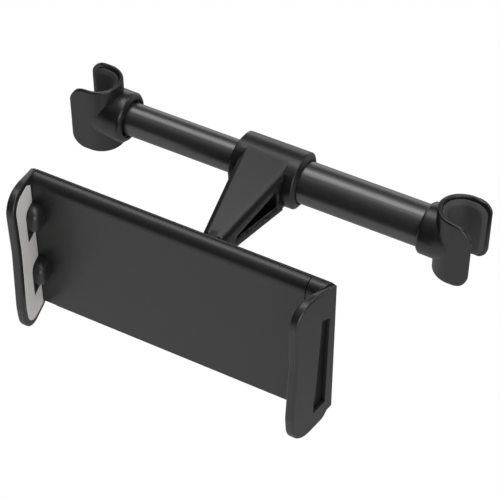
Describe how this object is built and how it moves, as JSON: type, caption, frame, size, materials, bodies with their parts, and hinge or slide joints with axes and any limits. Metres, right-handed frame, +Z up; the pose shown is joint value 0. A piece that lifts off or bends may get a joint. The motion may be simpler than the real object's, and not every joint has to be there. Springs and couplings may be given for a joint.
{
  "type": "tablet holder",
  "caption": "Holder for a tablet or phone behind a car seat: a sprung telescopic bar with hooks for the headrest posts, an arm with a ball joint, and a cradle with a sprung sliding jaw.",
  "frame": {"origin": "Middle of the cradle's front face, where the tablet rests.", "axes": "-Y points out of the cradle to the viewer, +Y back to the headrest, +X to the right along the bar as the viewer sees it, +Z up along the headrest posts."},
  "size_m": [0.2032, 0.1235, 0.0812],
  "materials": {
    "black_shell": "fine matte grain",
    "black_arm": "satin grain",
    "black_hook": "satin grain",
    "black_ring": "matte, ribbed for grip",
    "liner_rubber": "matte rubber",
    "jaw_pad": "soft light grey pad with an even surface",
    "dark_tube": "dark anodised, drawn and satin",
    "inner_plastic": "plain moulded",
    "seat_plastic": "slippery, natural colour",
    "spring_steel": "drawn wire, oiled",
    "screw_steel": "blackened steel",
    "ball_steel": "turned and polished"
  },
  "bodies": {
    "bar_and_arm": {"outer_tube": "dark_tube", "guide_bush": "inner_plastic", "right_plug": "inner_plastic", "bar_spring": "spring_steel", "right_hook": "black_hook", "right_hook_liner": "liner_rubber", "right_hook_screw": "screw_steel", "arm": "black_arm", "arm_screws": "screw_steel", "ball_stud": "ball_steel"},
    "bar_inner": {"inner_tube": "dark_tube", "spring_cup": "inner_plastic", "left_plug": "inner_plastic", "left_hook": "black_hook", "left_hook_liner": "liner_rubber", "left_hook_screw": "screw_steel"},
    "joint_front": {"front_seat": "seat_plastic"},
    "joint_rear": {"rear_seat": "seat_plastic"},
    "cradle": {"front_shell": "black_shell", "back_cover": "black_shell", "cover_screws": "screw_steel", "cover_spring_screws": "screw_steel", "left_jaw_pad": "jaw_pad", "jaw_springs": "spring_steel"},
    "ring": {"lock_ring": "black_ring"},
    "jaw": {"slide": "black_shell", "right_jaw_pad": "jaw_pad", "slide_spring_screws": "screw_steel"}
  },
  "joints": [
    {"name": "bar_slide", "type": "slide", "parent": "bar_and_arm", "child": "bar_inner", "axis": [1, 0, 0], "range_m": [0, 0.045], "stiffness_N_per_m": 250, "springref_m": -0.03, "deforming": ["bar_spring"]},
    {"name": "pan", "type": "hinge", "parent": "bar_and_arm", "child": "joint_front", "pos_m": [0, 0.0182, 0.0012], "axis": [0, 0, 1], "range_deg": [-15, 15]},
    {"name": "tilt", "type": "hinge", "parent": "joint_front", "child": "joint_rear", "pos_m": [0, 0.0182, 0.0012], "axis": [1, 0, 0], "range_deg": [-15, 15]},
    {"name": "roll", "type": "hinge", "parent": "joint_rear", "child": "cradle", "pos_m": [0, 0.0182, 0.0012], "axis": [0, 1, 0], "continuous": true},
    {"name": "lock_ring_turn", "type": "hinge", "parent": "cradle", "child": "ring", "pos_m": [0, 0.0182, 0.0012], "axis": [0, 1, 0], "range_deg": [0, 270]},
    {"name": "jaw_slide", "type": "slide", "parent": "cradle", "child": "jaw", "axis": [1, 0, 0], "range_m": [0, 0.084], "stiffness_N_per_m": 60, "springref_m": -0.04, "deforming": ["jaw_springs"]}
  ]
}
